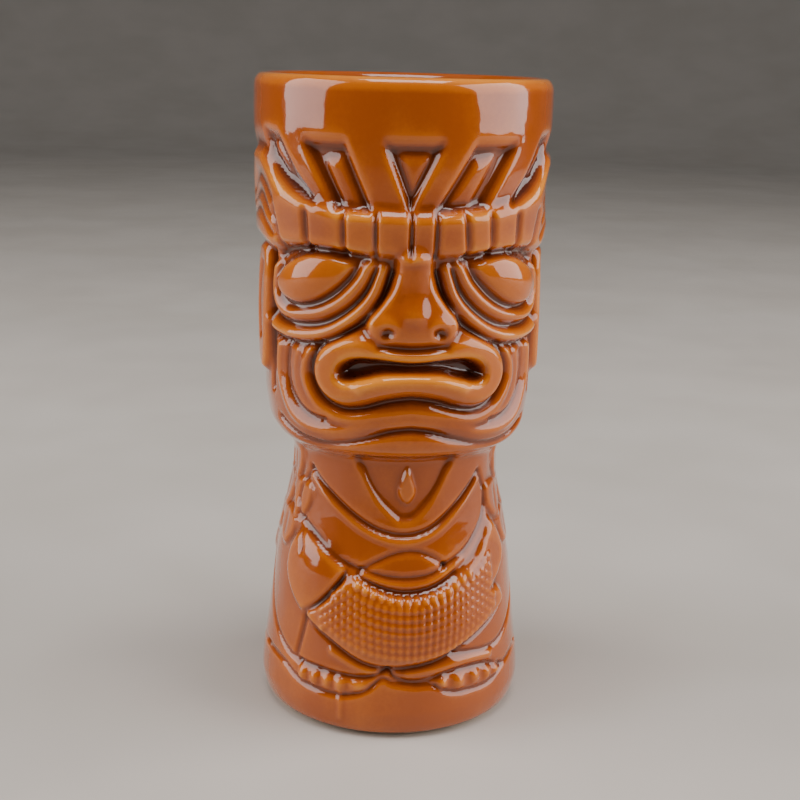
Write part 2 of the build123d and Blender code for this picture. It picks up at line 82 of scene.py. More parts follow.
# The plain wall under the carving as (height, radius), at the sides and back, and in front.
SIDE_WALL = [
    (0, 32.0), (1.2, 33.3), (3, 34.2), (7, 34.9), (11, 34.6), (20, 33.4), (30, 32.2),
    (40, 31.1), (50, 28.9), (57, 27.3), (63, 25.9), (70, 25.6), (73, 27.0), (76, 30.8),
    (79, 33.0), (86, 34.0), (96, 34.3), (106, 34.4), (116, 34.2), (122, 33.8), (128, 33.9),
    (134, 34.5), (140, 35.3), (147, 36.4), (152, 37.0), (158, 37.1), (165, 37.0),
]
FRONT_WALL = [
    (0, 32.0), (1.2, 33.3), (3, 34.2), (7, 34.9), (11, 34.6), (20, 33.8), (30, 32.8),
    (40, 31.3), (50, 29.4), (57, 28.0), (63, 27.3), (72.2, 27.4), (74, 29.8), (76, 34.0),
    (79, 35.3), (84, 35.8), (90, 35.9), (100, 35.8), (110, 35.6), (118, 35.3), (124, 35.3),
    (130, 35.9), (136, 36.6), (144, 37.0), (152, 37.1), (158, 37.1), (165, 37.0),
]
# The front wall holds out to one angle from the face, and has given way to the side by another.
FRONT_FULL = math.radians(42)
FRONT_REACH = math.radians(86)

# The hollow in the clay as (height, radius), from its floor to the lip.
HOLLOW = [
    (6.5, 25.8), (9, 29.2), (14, 30.5), (22, 30.2), (32, 29.0), (42, 27.4), (52, 25.2),
    (62, 22.9), (70, 22.3), (76, 24.7), (83, 28.8), (92, 30.8), (106, 31.1), (122, 31.2),
    (136, 31.8), (150, 32.8), (161, 33.4),
]


def smooth_step(x):
    """Rise from 0 to 1 with a level start and end."""
    x = np.clip(x, 0.0, 1.0)
    return x * x * (3 - 2 * x)


def rounded(points, closed=False):
    """Points on a rounded line that passes through the given ones."""
    knots = np.array(points, float)
    if closed:
        knots = np.vstack([knots[-1:], knots, knots[:2]])
    else:
        knots = np.vstack([2 * knots[:1] - knots[1:2], knots, 2 * knots[-1:] - knots[-2:-1]])
    before, start, end, after = knots[:-3], knots[1:-2], knots[2:-1], knots[3:]
    line = []
    for i in range(LINE_STEPS):
        t = i / LINE_STEPS
        line.append(
            start
            + 0.5 * t * (end - before)
            + 0.5 * t**2 * (2 * before - 5 * start + 4 * end - after)
            + 0.5 * t**3 * (3 * start - before - 3 * end + after)
        )
    line = np.stack(line, axis=1).reshape(-1, 2)
    return line if closed else np.vstack([line, end[-1:]])


def mirrored(points):
    """The same line on the other side of the face's centre."""
    return [(2 * FACE_CENTRE - u, z) for u, z in points]


def across(points):
    """A line drawn from the right edge of the face to its centre, carried on to the left edge."""
    half = list(points)
    return half + mirrored(half)[::-1]


class Skin:
    """Heights carved on the unrolled wall: u runs round the girth, z runs up."""

    def __init__(self, u, z):
        self.u, self.z = np.meshgrid(u, z)
        self.height = np.zeros_like(self.u)

    def _window(self, line, reach):
        """The stations near a line: their indices, and their places beside it."""
        middle = (line[:, 0].min() + line[:, 0].max()) / 2
        u = middle + (self.u - middle + GIRTH / 2) % GIRTH - GIRTH / 2
        low, high = line.min(axis=0) - reach, line.max(axis=0) + reach
        near = (u > low[0]) & (u < high[0]) & (self.z > low[1]) & (self.z < high[1])
        return near, np.stack([u[near], self.z[near]], axis=1)

    @staticmethod
    def _distance(places, line):
        """Distance from each place to the nearest point of a line."""
        start, along = line[:-1], np.diff(line, axis=0)
        length = np.maximum((along**2).sum(axis=1), 1e-9)
        offset = places[:, None, :] - start
        t = np.clip((offset * along).sum(axis=2) / length, 0.0, 1.0)
        return np.sqrt(((offset - t[:, :, None] * along) ** 2).sum(axis=2)).min(axis=1)

    @staticmethod
    def _inside(places, outline):
        """Whether each place lies inside a closed outline."""
        x, y = places[:, 0, None], places[:, 1, None]
        x0, y0 = outline[:-1, 0], outline[:-1, 1]
        x1, y1 = outline[1:, 0], outline[1:, 1]
        rise = np.where(y1 == y0, 1e-9, y1 - y0)
        crosses = ((y0 > y) != (y1 > y)) & (x < x0 + (y - y0) * (x1 - x0) / rise)
        return crosses.sum(axis=1) % 2 == 1

    def ridge(self, points, width, height, both=False):
        """Raise a rounded bead along a line, or cut a groove when the height is negative."""
        for path in [points, mirrored(points)] if both else [points]:
            line = rounded(path)
            near, places = self._window(line, width / 2)
            share = np.clip(self._distance(places, line) / (width / 2), 0.0, 1.0)
            self.height[near] += height * (1 - share**2) ** 2

    def groove(self, points, width, depth, both=False):
        """Cut a rounded groove along a line."""
        self.ridge(points, width, -depth, both)

    def pad(self, outline, height, edge, both=False, sharp=False):
        """Raise the area inside an outline, with a shoulder as wide as its edge."""
        for path in [outline, mirrored(outline)] if both else [outline]:
            corners = np.array(path, float) if sharp else rounded(path, closed=True)
            loop = np.vstack([corners, corners[:1]])
            near, places = self._window(loop, edge)
            depth = self._distance(places, loop) * np.where(self._inside(places, loop), 1, -1)
            self.height[near] += height * smooth_step(depth / edge + 0.5)

    def belt(self, lower, upper, height, edge):
        """Raise a band all the way round between two lines drawn from the front to the back."""
        away = np.abs(self.u)
        below = self.z - np.interp(away, *zip(*lower))
        above = np.interp(away, *zip(*upper)) - self.z
        self.height += height * smooth_step(np.minimum(below, above) / edge + 0.5)

    def dome(self, centre, half_width, half_height, height, tilt=0.0, both=False):
        """Raise a rounded oval bump, tilted in degrees with its right or outer end up."""
        for place in [centre, mirrored([centre])[0]] if both else [centre]:
            side = -1 if both and place != centre else 1
            turn = math.radians(tilt) * side
            middle = np.array(place, float)
            du = (self.u - middle[0] + GIRTH / 2) % GIRTH - GIRTH / 2
            dz = self.z - middle[1]
            along = (du * math.cos(turn) + dz * math.sin(turn)) / half_width
            upright = (dz * math.cos(turn) - du * math.sin(turn)) / half_height
            self.height += height * np.clip(1 - along**2 - upright**2, 0.0, 1.0) ** 1.5


def carve_crown(skin):
    """Sunk panels fanned round the crown, each with a lower island left standing in it."""
    centre = [(-7, 150), (6.5, 150), (-1, 135.5)]
    centre_island = [(-3.8, 148), (3.8, 148), (-0.5, 139.5)]
    left = [(-28, 150), (-17, 150), (-10, 135), (-18.5, 135)]
    left_island = [(-22, 146), (-17.6, 147), (-11.8, 135.5), (-16.6, 135.5)]
    right = [(15, 150), (27, 150), (17.5, 136), (5.5, 135.3)]
    right_island = [(14.8, 146.5), (21, 148), (13.8, 136.5), (7.6, 136.3)]
    outer = [(25, 136), (32, 142.6), (39, 151), (45, 151.5), (43, 146.5), (38, 142), (32, 138.6)]
    outer_island = [(34, 142), (40.5, 149.5), (43, 150), (41.5, 146.5)]
    panels = [(centre, centre_island), (left, left_island), (right, right_island)]
    panels += [(outer, outer_island), (mirrored(outer), mirrored(outer_island))]
    for outline, island in panels:
        skin.pad(outline, -2.0, 1.9, sharp=True)
        skin.pad(island, 1.1, 2.0, sharp=True)
    back_panel = [(-6.8, 150), (6.8, 150), (0, 135.5)]
    back_island = [(-3.5, 148), (3.5, 148), (0, 140)]
    back_panels = [(back_panel, back_island)]
    slope = [(7, 136), (15, 136), (27, 150), (16.5, 150)]
    rib = [(10.5, 137.5), (14.5, 137.5), (22, 147.5), (17, 147.5)]
    for side in (-1, 1):
        for shift in (0, 20):
            pair = [[(side * (u + shift), z) for u, z in shape] for shape in (slope, rib)]
            back_panels.append(pair)
    for outline, island in back_panels:
        skin.pad([(BACK + u, z) for u, z in outline], -1.5, 1.9, sharp=True)
        skin.pad([(BACK + u, z) for u, z in island], 0.9, 2.0, sharp=True)


def carve_headband(skin):
    """A bound headband that rises into a wing at each temple and runs on round the back."""
    top = [
        (0, 134.4), (15, 134.9), (21, 135.6), (27, 136.8), (33, 139.2), (39, 142.5), (46, 146.5),
        (53, 147), (62, 142), (70, 137.5), (80, 135), (BACK, 134.5),
    ]
    bottom = [
        (0, 124.4), (12, 124.9), (25, 125.8), (35, 125.6), (41, 124), (50, 125.5), (62, 125),
        (BACK, 125),
    ]
    skin.belt(bottom, top, 2.5, 3.6)
    ties = {-37: 2.5, -26.2: 0, -16.3: 0, -8.7: 0, -0.5: 0, 5.3: 0, 12.8: 1.2, 19.4: 1.2,
            27.5: 1, 35.5: -1.5}
    for u, lean in ties.items():
        skin.groove([(u - lean / 2, 134.2), (u + lean / 2, 124.8)], 2.0, 1.3)
    for i in range(-4, 5):
        skin.groove([(BACK + 8 * i, 133.5), (BACK + 8 * i, 126)], 2.2, 1.0)
    for lift in (0, 4.2, 8.4):
        fold = [(40, 127.5 + lift), (46, 131 + lift), (53, 132.5 + lift), (61, 130 + 0.7 * lift)]
        skin.groove(fold, 2.8, 0.7, both=True)
    skin.dome((51, 141), 17, 12, -1.7, both=True)


def carve_eyes(skin):
    """Bulging almond eyes set under a heavy brow."""
    almond = [
        (14.7, 122.5), (19, 124), (23.5, 124.6), (29, 123.8), (34.5, 121.5), (38.6, 118),
        (39.6, 115.5), (36.5, 112.6), (31, 111.6), (26, 112.6), (21.5, 115), (17, 119),
    ]
    skin.pad(almond, 1.5, 2.0, both=True)
    skin.dome((28.0, 118), 13.5, 7.2, 2.3, tilt=-14, both=True)
    skin.groove(almond + almond[:1], 2.0, 1.0, both=True)
    under_brow = [(12, 123.9), (20, 125.2), (28, 125.2), (36, 123.7), (41, 120.8)]
    skin.groove(under_brow, 2.8, 1.3, both=True)


def carve_folds(skin):
    """Two thick folds of skin sweep from beside the nose out under each eye."""
    upper = [(11.4, 122.4), (13.9, 118), (18.2, 113.6), (23.7, 110.5), (29.7, 109.2),
             (35.5, 109), (39.6, 110.9), (41, 115), (40.2, 121)]
    lower = [(8.2, 121.6), (10.5, 115.4), (14.3, 110.8), (19.7, 107), (25.7, 104.8),
             (32, 104.1), (38, 104.3), (43.6, 105.2)]
    between = [(9.8, 121.6), (12.5, 115.7), (16.8, 111.3), (22.5, 107.9), (28.5, 106.7),
               (35, 106.6), (39.6, 107.2), (43.6, 108.8)]
    under = [(6.2, 121), (8.4, 114.5), (12, 109.7), (17, 105.9), (23, 103.1), (29, 102.1),
             (36.5, 101.9), (41.6, 102.3)]
    skin.ridge(upper, 4.8, 1.7, both=True)
    skin.ridge(lower, 4.8, 1.6, both=True)
    skin.groove(between, 1.6, 1.0, both=True)
    skin.groove(under, 2.2, 1.4, both=True)


def carve_nose(skin):
    """A narrow bridge widening to two round wings with a nostril dent in each."""
    half = [(3.4, 124.6), (4.3, 120.5), (5.4, 116.6), (7.8, 113.6), (10.6, 110.9), (10.9, 107.4),
            (8.4, 105.2), (3.6, 104.3)]
    outline = [(FACE_CENTRE + u, z) for u, z in half]
    outline += mirrored(outline)[::-1]
    skin.pad(outline, 2.6, 2.6)
    skin.dome((FACE_CENTRE, 108.6), 8.5, 7.5, 1.5)
    skin.dome((7.4, 108.4), 4.4, 4.0, 0.8, both=True)
    skin.ridge([(FACE_CENTRE, 124), (FACE_CENTRE, 112)], 8, 0.9)
    skin.dome((6.6, 107.0), 2.4, 1.9, -2.0, tilt=-20, both=True)


def carve_mouth(skin):
    """A wide sullen mouth: a fat ring of lip round a dark downturned slot."""
    half = [(4, 103.4), (11, 105.6), (16.5, 105.1), (20.9, 103.1), (23.9, 99.6), (24.4, 95.2),
            (22, 91.2), (17.7, 89.1), (13, 89.4), (7, 91), (2, 91.8)]
    ring = [(FACE_CENTRE + u, z) for u, z in half]
    skin.pad(ring + mirrored(ring)[::-1], 2.8, 3.8)
    slot = [(2, 99.4), (9.4, 100.1), (14.4, 99.8), (17.4, 98), (17.7, 95.7), (15.6, 94.8),
            (12, 95.6), (7, 97.1), (2, 97.6)]
    slot = [(FACE_CENTRE + u, z) for u, z in slot]
    skin.pad(slot + mirrored(slot)[::-1], -5.2, 2.4)
    lower_lip = [(-11.4, 93.6), (-6, 94.8), (FACE_CENTRE, 95.2), (7.2, 94.8), (12.6, 93.6)]
    skin.ridge(lower_lip, 5.5, 0.8)
    under_nose = [(-7.4, 103.3), (FACE_CENTRE, 102.8), (8.6, 103.3)]
    skin.groove(under_nose, 2.4, 1.1)


def carve_jowls(skin):
    """Nested folds round the mouth, the cheek line, and the chin pad below."""
    around = [(23.6, 102.6), (25.6, 100), (26.4, 96), (25, 91.8), (21.6, 88.7), (17.2, 87.4),
              (12, 88), (6.6, 89.8), (1.6, 90.6)]
    roll = [(27, 100.6), (28.6, 97.6), (28.6, 93.4), (25.6, 88.6), (21, 85.8), (16, 84.9),
            (9, 86.2), (2, 87.2)]
    inner_roll = [(31.3, 100), (32, 96), (31, 91), (28, 87.2), (24, 84.8)]
    cheek = [(35, 101.6), (35.9, 96), (34.8, 90.6), (31.8, 86.9), (27.8, 84.8), (22.9, 84.1)]
    outer_roll = [(39.4, 100.2), (39.6, 94), (37, 88), (33, 83.5), (27, 81.4), (19, 81.6),
                  (10, 83.8), (2, 84.9)]
    chin = [(40.5, 81.5), (36.5, 79.9), (30.5, 78.2), (25, 77.7), (18.5, 78.5), (11.5, 80.3),
            (6, 82), (2, 82.7)]
    skin.groove(across(around), 1.9, 1.3)
    skin.ridge(across(roll), 4.4, 1.2)
    skin.ridge(inner_roll, 4.0, 0.6, both=True)
    skin.groove(cheek, 1.9, 1.2, both=True)
    skin.ridge(across(outer_roll), 3.6, 0.9)
    skin.groove(across(chin), 2.2, 1.3)
    skin.dome((FACE_CENTRE, 77.8), 24, 5.0, 0.9)


def carve_ears(skin):
    """Long flat ears hanging at the sides of the head."""
    ear = [(45.6, 122.6), (54.4, 122.6), (55.4, 111), (54, 97), (50, 92), (46.2, 95.5), (45, 110)]
    skin.pad(ear, 1.9, 1.8, both=True)
    skin.groove([(50, 119), (51.4, 111), (50.2, 101)], 3.4, 1.0, both=True)
    skin.groove([(43.6, 123), (43.4, 110), (43.7, 98), (44.2, 88)], 2.4, 1.7, both=True)


def carve_hair(skin):
    """Long waved locks down the back of the head, cut off level above the neck."""
    sway = [(0, 124), (1.3, 115), (-1.3, 105), (1.3, 95), (-1.0, 86), (0, 78.5)]
    for side in (-1, 1):
        for lock in range(5):
            middle = 6.1 + 12.2 * lock
            parting = [(BACK + side * (middle + du), z) for du, z in sway]
            strand = [(u - side * 6.1, z - 2) for u, z in parting[:-1]]
            skin.groove(parting, 3.0, 1.3)
            if lock > 0:
                skin.groove(strand, 1.8, 0.6)
    skin.groove([(BACK, 122), (BACK, 84)], 1.8, 0.6)
    hem = [(BACK - 55, 80), (BACK - 30, 77.5), (BACK, 77), (BACK + 30, 77.5), (BACK + 55, 80)]
    skin.groove(hem, 2.2, 0.8)


def carve_collar(skin):
    """Two crossed layers of collar with a V at the throat and a small drop pendant."""
    throat = [(-14.6, 74.5), (-13.2, 68.5), (-8.5, 62.5), (-2, 57.8), (1, 57.1), (4.5, 58),
              (10, 62.5), (14.6, 68.5), (16.1, 74.5)]
    skin.pad(throat, -1.3, 1.4)
    pendant = [(1.5, 70.2), (3.6, 66.5), (4.2, 63.8), (1.5, 61.4), (-1.2, 63.8), (-0.6, 66.5)]
    skin.pad(pendant, 1.2, 1.5)
    upper = [(-36, 67.5), (-28, 63.2), (-16, 57.5), (-8, 54.6), (0, 53.4), (8, 54.4), (15, 57.5),
             (25, 63.5), (30, 67.5)]
    skin.groove(upper, 2.2, 1.2)
    skin.ridge([(u, z - 1.7) for u, z in upper], 2.4, 0.5)
    left_shoulder = [(-35.5, 67), (-40, 62.5), (-41.5, 58.5), (-39.5, 54.6)]
    skin.groove(left_shoulder, 1.7, 1.0)
    right_arm = [(30.5, 67), (33.2, 63), (33.4, 58), (31, 54.5), (24, 49.5), (19, 47), (13, 45.1)]
    left_arm = [(-41, 54.5), (-36, 53), (-30, 50.8), (-24, 48), (-19, 45.8), (-13, 44.4)]
    skin.groove(right_arm, 1.9, 1.1)
    skin.groove(left_arm, 1.9, 1.1)
    belly_top = [(-12, 44.8), (-5, 47.9), (0, 49.2), (5, 49.2), (10, 47.6), (14, 45.2)]
    belly_bottom = [(-13, 44.5), (-5, 43.1), (2, 42.7), (9, 43.4), (14, 45.2)]
    skin.groove(belly_top, 1.7, 0.9)
    skin.groove(belly_bottom, 1.5, 0.9)
    belly_fold = [(-12, 43.4), (-5, 41.6), (2, 41), (8, 41.6), (14, 43.6), (20, 46.6)]
    under_fold = [(-14, 43.4), (-10, 41.5), (-4, 39.7), (2, 39.2), (10, 40.3), (17, 43.3)]
    skin.ridge(belly_fold, 1.8, 0.6)
    skin.groove(under_fold, 1.5, 0.9)


def carve_fish(skin):
    """A fish held across the belly: smooth head, scaled body and a forked tail."""
    head = [(-17, 44), (-22, 47.5), (-26, 49), (-31, 50.3), (-36, 50.5), (-39.5, 48),
            (-41, 44), (-40, 39.5), (-37, 35.5), (-33, 32.3), (-29.8, 31), (-26, 33.6),
            (-22.4, 37), (-19, 41)]
    skin.pad(head, 1.5, 2.4)
    skin.dome((-30, 41.5), 11, 10, 0.8)
    fish_mouth = [(-35.6, 50.4), (-34, 48), (-33.3, 46.4)]
    skin.groove(fish_mouth, 1.4, 1.0)
    gill = [(-17.2, 43.8), (-19, 40.5), (-22.5, 36.5), (-26, 33.5), (-30, 31.1)]
    skin.groove(gill, 1.7, 1.3)
    body = [(-14.5, 42.4), (-8, 40), (-3, 38.5), (3, 37.9), (9, 38.8), (14, 40.6), (19, 43),
            (25, 46), (30, 50), (34, 53.6), (38, 51), (40, 44.5), (34, 39), (29.5, 37.2),
            (34, 36.2), (36.5, 33.6), (35, 31.4), (27, 28.3), (18, 25), (10, 22), (0, 20.7),
            (-10, 21.5), (-20, 26), (-29, 30.4), (-24, 34.4), (-20, 38.5)]
    skin.pad(body, 1.5, 2.2)
    skin.dome((2, 30.5), 27, 11, 0.8, tilt=6)
    carve_scales(skin)
    for i in range(5):
        tail_ray = [(29 + 1.6 * i, 43.5 - 0.5 * i), (31.5 + 1.3 * i, 49.5 - 0.8 * i)]
        skin.groove(tail_ray, 1.1, 0.4)
    under_fish = [(-29.5, 29.8), (-20, 25), (-10, 20.5), (0, 19.6), (10, 21), (18, 24),
                  (27, 27.3), (36, 31)]
    skin.groove(under_fish, 1.6, 0.9)


def carve_scales(skin):
    """Rows of small scales that follow the belly of the fish, and a beaded back."""
    rows = round(16.4 / SCALE_PITCH)
    columns = range(-round(27 / SCALE_PITCH), round(32 / SCALE_PITCH))
    for row in range(rows):
        drop = SCALE_PITCH * row
        for column in columns:
            u = 1.5 + SCALE_PITCH * column * (1 - 0.006 * drop)
            z = 35.4 - drop + 0.0125 * (u - 2) ** 2
            behind_gill = u > -26 + 0.8 * abs(z - 31)
            above_belly = z > 22.2 + 0.0115 * (u - 1) ** 2
            before_tail = u < 31
            if behind_gill and above_belly and before_tail:
                skin.dome((u, z), 0.61 * SCALE_PITCH, 0.59 * SCALE_PITCH, 0.9)
    for bead in range(15):
        u = -13 + 2.45 * bead
        z = 37.6 + 0.0135 * (u - 2.5) ** 2
        skin.dome((u, z), 1.2, 1.6, 0.8)


def carve_feet(skin):
    """Bent legs below the fish, and two broad feet with round toes on the base ring."""
    knee_left = [(-29.8, 29.5), (-30.8, 25), (-32.5, 18.5)]
    thigh_left = [(-59, 41), (-54, 31), (-47, 24), (-40, 19.9), (-35, 17.9), (-31, 17.3)]
    thigh_right = [(15, 22.6), (20, 21.9), (26, 21.2), (31, 21), (36, 22), (42, 24.8),
                   (51, 31), (57, 41)]
    skin.groove(knee_left, 1.8, 1.1)
    skin.groove(thigh_right, 1.8, 1.0)
    skin.groove(thigh_left, 1.7, 1.0)
    shin_left = [(-31, 17.3), (-25, 17), (-17, 16.6), (-10, 16.8), (-4.2, 19)]
    shin_right = [(-3.6, 19.6), (-1.5, 17.2), (3.5, 15.9), (9, 16.3), (14, 17.4), (20, 17.6),
                  (26, 17.1), (31, 15.8), (36, 14.2)]
    skin.groove(shin_left, 1.9, 1.3)
    skin.groove(shin_right, 1.8, 1.2)
    skin.ridge([(-20, 22.5), (-12, 19.6), (-7, 18.6)], 3.4, 0.7)
    skin.ridge([(2, 18.4), (10, 19), (20, 20), (29, 19.2)], 3.2, 0.7)
    ledge = [(-52, 15.6), (-45, 15.5), (-38, 14.8), (-32, 12.6), (-26, 11.5), (-17, 11.3),
             (-12, 12.4), (-8.6, 14), (-5, 16.9), (-2, 15.8), (4, 14.9), (9.4, 14.6),
             (13.5, 12.5), (19, 11.6), (29, 11.5), (36, 13.8), (45, 15.4), (52, 15.6)]
    skin.groove(ledge, 1.5, 1.1)
    for u in (-29.4, -25.2, -21.0, -17.0):
        skin.dome((u, 14.2), 2.1, 2.5, 1.0)
    right_toes = [(12.0, 14.9, 1.9), (17.3, 14.5, 2.5), (22.8, 14.7, 2.3), (27.6, 14.4, 1.9),
                  (31.8, 14.3, 1.6)]
    for u, z, half_width in right_toes:
        skin.dome((u, z), half_width, 2.4, 1.0)
    skin.dome((-11.4, 14.3), 3.2, 2.0, 0.7)
    glaze_run = [(-16.9, 12.6), (-16.6, 8.5), (-16.7, 5.2)]
    skin.ridge(glaze_run, 2.2, 0.35)


def carve_cloak(skin):
    """A cape of overlapping feathers from the shoulders down the back of the body."""
    pitch = 14.0
    for row, feathers in enumerate((11, 12, 11, 8, 7, 4)):
        z = 71.5 - 8.8 * row
        for i in range(feathers):
            u = BACK + pitch * (i - (feathers - 1) / 2)
            lobe = [(u - 6.8, z), (u - 6.2, z - 5), (u - 3, z - 8.6), (u, z - 9.6),
                    (u + 3, z - 8.6), (u + 6.2, z - 5), (u + 6.8, z)]
            skin.pad(lobe, 0.8, 1.6)
            skin.groove(lobe, 1.7, 0.6)
            skin.groove([(u, z - 1.5), (u, z - 6.5)], 1.5, 0.4)
    skin.groove([(BACK + u, 15.6) for u in (-68, -34, 0, 34, 68)], 1.5, 1.1)


def carving(u, z):
    """The height of the carving at every station of the wall."""
    skin = Skin(u, z)
    parts = (carve_crown, carve_headband, carve_eyes, carve_folds, carve_nose, carve_mouth,
             carve_jowls, carve_ears, carve_hair, carve_collar, carve_fish, carve_feet, carve_cloak)
    for carve in parts:
        carve(skin)
    return skin.height


def evened(line):
    """A run of radii, each averaged with three neighbours on either side, three times over."""
    for _ in range(3):
        line = np.convolve(np.pad(line, 3, mode="edge"), np.ones(7) / 7, mode="valid")
    return line


def profile(points, z):
    """Radius read off a wall profile, rounded so that no corner shows in the gloss."""
    heights, radii = zip(*points)
    fine = np.arange(0, HEIGHT + 1.0, 0.25)
    return np.interp(z, fine, evened(np.interp(fine, heights, radii)))


def wall_angles():
    """Angles round the mug from the back, closer together in front, where the detail is."""
    even = np.linspace(-math.pi, math.pi, COLUMNS, endpoint=False)
    return even - FRONT_CROWDING * np.sin(even)


def wall_heights():
    """Heights of the rows, closer together over the carving than on the plain rim."""
    even = np.linspace(0, 1, ROWS)
    past_carving = np.clip(even - CARVED_SHARE, 0, None)
    crowded = even + ROW_CROWDING * past_carving**2 / (1 - CARVED_SHARE)
    return GLAZE_LINE + (LIP_BOTTOM - GLAZE_LINE) * crowded / crowded[-1]


def plain_wall(theta, z):
    """Radius of the uncarved clay wall."""
    side = profile(SIDE_WALL, z)
    front = profile(FRONT_WALL, z)
    ahead = smooth_step((FRONT_REACH - np.abs(theta)) / (FRONT_REACH - FRONT_FULL))
    return side[:, None] + (front - side)[:, None] * ahead


def soften(heights, passes):
    """Average each station with its neighbours: round the girth, and up the wall."""
    for _ in range(passes):
        heights = (np.roll(heights, 1, axis=1) + 2 * heights + np.roll(heights, -1, axis=1)) / 4
        padded = np.pad(heights, ((1, 1), (0, 0)), mode="edge")
        heights = (padded[:-2] + 2 * heights + padded[2:]) / 4
    return heights


def glaze_depth(heights):
    """How thick the glaze lies, from 0 on sharp edges to 1 in the deepest grooves."""
    below_near = soften(heights, 5) - heights
    below_wide = soften(heights, 40) - heights
    return np.clip(LEVEL_GLAZE + 0.45 * below_near + 0.18 * below_wide, 0.0, 1.0)


def sheet_mesh(name, theta, radii, heights, attributes=None):
    """A sheet of quads from rings of stations, closed round the axis."""
    rows, columns = radii.shape
    x = radii * np.sin(theta) * MM
    y = -radii * np.cos(theta) * MM
    z = np.broadcast_to(np.asarray(heights)[:, None], radii.shape) * MM
    places = np.stack([x, y, z], axis=-1).reshape(-1, 3)
    low = np.arange((rows - 1) * columns).reshape(rows - 1, columns)
    beside = np.roll(low, -1, axis=1)
    quads = np.stack([low, beside, beside + columns, low + columns], axis=-1).reshape(-1, 4)
    mesh = bpy.data.meshes.new(name)
    mesh.from_pydata(places.tolist(), [], quads.tolist())
    for key, values in (attributes or {}).items():
        layer = mesh.attributes.new(key, "FLOAT", "POINT")
        layer.data.foreach_set("value", np.asarray(values, dtype=np.float32).ravel())
    mesh.shade_smooth()
    piece = bpy.data.objects.new(name, mesh)
    bpy.context.scene.collection.objects.link(piece)
    return piece


def turned_mesh(name, outline, around=192, attributes=None):
    """A surface of revolution from an outline of (radius, height) points."""
    radii, heights = np.array(outline, float).T
    theta = np.linspace(-math.pi, math.pi, around, endpoint=False)
    return sheet_mesh(name, theta, np.repeat(radii[:, None], around, axis=1), heights, attributes)


def make_outer_skin():
    """The glazed outside: the carved wall with its glaze, then over the lip to its crest."""
    theta = wall_angles()
    z = wall_heights()
    carved = soften(carving(SKIN_RADIUS * theta, z), 1)
    wall = plain_wall(theta, z) + carved + GLAZE
    # The glaze runs out to nothing at its lower edge.
    wall[0] -= GLAZE
    edge = wall[-1]
    # The glaze thins over the crest of the lip, and the paler colour given to the crest is also a
    # painted highlight.
    crest_thinning_and_highlight = 0.38
    rows, heights, depths = [wall], list(z), [glaze_depth(carved)]
    for turn in np.linspace(0, 90, 9)[1:]:
        out = math.cos(math.radians(turn))
        up = math.sin(math.radians(turn))
        rows.append((LIP_CREST_RADIUS + (edge - LIP_CREST_RADIUS) * out)[None, :])
        heights.append(LIP_BOTTOM + LIP_ROUND * up)
        depths.append(np.full((1, COLUMNS), LEVEL_GLAZE - crest_thinning_and_highlight * up))
    return sheet_mesh(
        "amber_glaze_skin", theta, np.vstack(rows), heights, {"glaze_depth": np.vstack(depths)}
    )


def make_liner():
    """The glazed inside, from the crest of the lip down to the floor."""
    clay_floor = HOLLOW[0][0]
    floor = clay_floor + GLAZE
    corner_top = clay_floor + 2.5
    corner_width = 4.0
    z = np.linspace(corner_top, LIP_BOTTOM, 90)
    heights, radii = zip(*HOLLOW)
    wall = evened(np.interp(z, heights, radii)) - GLAZE
    lip = [
        (LIP_CREST_RADIUS - (LIP_CREST_RADIUS - wall[-1]) * math.sin(a),
         LIP_BOTTOM + LIP_ROUND * math.cos(a))
        for a in np.linspace(0, math.pi / 2, 8)
    ]
    sides = list(zip(wall[::-1], z[::-1]))[1:]
    corner = [
        (wall[0] - corner_width * (1 - math.cos(a)),
         floor + (corner_top - floor) * (1 - math.sin(a)))
        for a in np.linspace(0, math.pi / 2, 7)
    ]
    middle = [(r, floor) for r in (18.0, 10.0, 3.0, 0.01)]
    outline = lip + sides + corner[1:] + middle
    return turned_mesh("liner_glaze_skin", outline[::-1])


def make_foot():
    """The bare clay foot: the ring that the mug stands on, its outer edge and the recess wall."""
    ease = 0.35
    under_glaze = (33.0, GLAZE_LINE + 0.25)
    outer_edge = [(32.7, GLAZE_LINE), (32.2, 0.7), (FOOT_RADIUS, 0.25)]
    standing_ring = [(FOOT_RADIUS - ease, 0.0), (FOOT_INNER + ease, 0.0)]
    recess_wall = [(FOOT_INNER + 0.08, 0.12), (FOOT_INNER, ease), (FOOT_INNER, FOOT_RECESS)]
    outline = [under_glaze, *outer_edge, *standing_ring, *recess_wall]
    return turned_mesh("bare_foot_ring", outline[::-1])


def make_recess_glaze():
    """The glaze in the recess under the foot, a little domed and thick at its rim."""
    level = FOOT_RECESS - FOOT_GLAZE
    sag = [(0.01, 0.12), (8, 0.1), (16, 0.06), (22, 0), (25, -0.02), (26.4, 0.02),
           (FOOT_INNER, 0.14)]
    outline = [(radius, level + rise) for radius, rise in sag]
    return turned_mesh("foot_recess_glaze_patch", outline[::-1])


